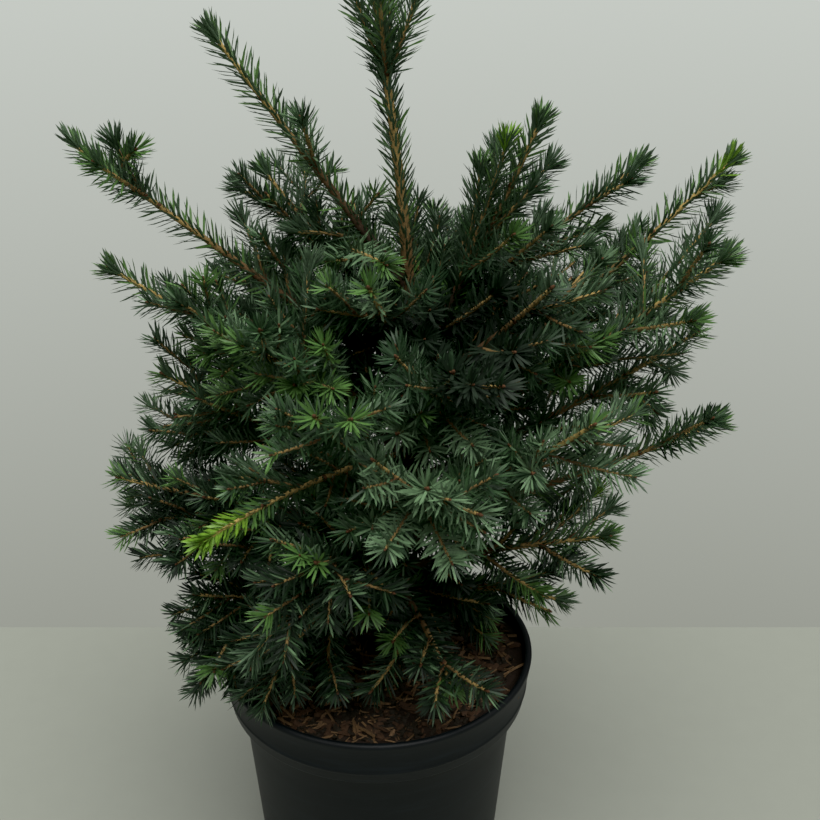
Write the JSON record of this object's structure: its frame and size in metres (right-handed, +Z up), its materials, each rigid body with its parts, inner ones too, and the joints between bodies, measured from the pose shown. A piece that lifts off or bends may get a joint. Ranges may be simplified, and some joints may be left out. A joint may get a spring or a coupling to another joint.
{
  "type": "potted serbian spruce",
  "caption": "Young upright spruce with an open, layered crown of short flat needles, growing in a round tapered nursery pot filled with bark mulch.",
  "frame": {"origin": "centre of the pot's flat underside", "axes": "+Z up along the pot and the trunk, +X to the right and -Y towards the viewer in the picture"},
  "size_m": [0.363, 0.3211, 0.5502],
  "materials": {
    "pot": "satin black moulded plastic",
    "soil": "rough bark mulch and potting soil",
    "bark": "rough orange-brown young bark",
    "foliage": "waxy blue-green needles"
  },
  "bodies": {
    "root": {"pot": "pot", "soil": "soil", "trunk": "bark", "high_left_bough": "bark", "far_right_bough": "bark", "upper_left_bough": "bark", "upper_front_left_bough": "bark", "upper_front_bough": "bark", "right_bough": "bark", "back_right_bough": "bark", "back_left_bough": "bark", "front_shoot_bough": "bark", "back_bough": "bark", "front_left_bough": "bark", "left_bough": "bark", "mid_right_bough": "bark", "front_bough": "bark", "front_right_bough": "bark", "lower_right_bough": "bark", "lower_left_bough": "bark", "lower_front_bough": "bark", "low_back_right_bough": "bark", "low_back_left_bough": "bark", "low_right_bough": "bark", "drooping_left_bough": "bark", "drooping_front_left_bough": "bark", "drooping_front_bough": "bark", "top_left_foliage": "foliage", "top_right_foliage": "foliage", "top_back_left_foliage": "foliage", "top_front_foliage": "foliage", "top_back_right_foliage": "foliage", "high_left_foliage": "foliage", "high_right_foliage": "foliage", "high_front_right_foliage": "foliage", "far_right_foliage": "foliage", "upper_left_foliage": "foliage", "upper_front_left_foliage": "foliage", "upper_front_foliage": "foliage", "right_foliage": "foliage", "back_right_foliage": "foliage", "back_left_foliage": "foliage", "front_shoot_foliage": "foliage", "back_foliage": "foliage", "front_left_foliage": "foliage", "left_foliage": "foliage", "mid_right_foliage": "foliage", "front_foliage": "foliage", "front_right_foliage": "foliage", "lower_right_foliage": "foliage", "lower_left_foliage": "foliage", "lower_front_foliage": "foliage", "low_back_right_foliage": "foliage", "low_back_left_foliage": "foliage", "low_right_foliage": "foliage", "drooping_right_foliage": "foliage", "drooping_left_foliage": "foliage", "drooping_front_left_foliage": "foliage", "drooping_front_foliage": "foliage", "leader_foliage": "foliage"}
  },
  "joints": []
}
